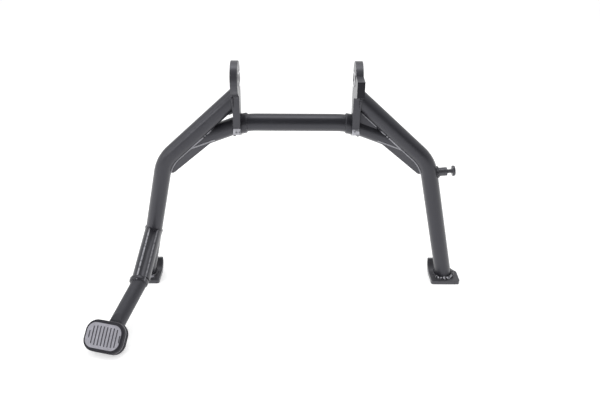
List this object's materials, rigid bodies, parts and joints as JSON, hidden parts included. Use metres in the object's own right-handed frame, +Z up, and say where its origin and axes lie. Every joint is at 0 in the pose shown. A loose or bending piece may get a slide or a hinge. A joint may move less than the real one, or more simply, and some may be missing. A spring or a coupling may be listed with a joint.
{
  "type": "motorcycle centre stand",
  "caption": "Welded tubular centre stand with two pivot lugs, splayed legs on curved soles, a foot lever with an oval rubber pedal and a spring post.",
  "frame": {"origin": "on the pivot axis, midway between the two lugs", "axes": "+X along the pivot axis towards the spring post's side, +Y away from the pedal, +Z up from the floor to the pivot"},
  "size_m": [0.5493, 0.2261, 0.357],
  "materials": {
    "coated_steel": "semi-gloss black powder coat",
    "pad_rubber": "moulded satin rubber"
  },
  "bodies": {
    "root": {"cross_tube": "coated_steel", "leg_tube_left": "coated_steel", "leg_tube_right": "coated_steel", "pivot_lug_left": "coated_steel", "pivot_lug_right": "coated_steel", "pivot_bush_left": "coated_steel", "pivot_bush_right": "coated_steel", "cross_collar_left": "coated_steel", "cross_collar_right": "coated_steel", "gusset_left": "coated_steel", "gusset_right": "coated_steel", "foot_plate_left": "coated_steel", "foot_plate_right": "coated_steel", "lever_stub": "coated_steel", "lever_tube": "coated_steel", "pedal_plate": "coated_steel", "spring_boss": "coated_steel", "spring_post": "coated_steel", "pedal_pad": "pad_rubber"}
  },
  "joints": []
}
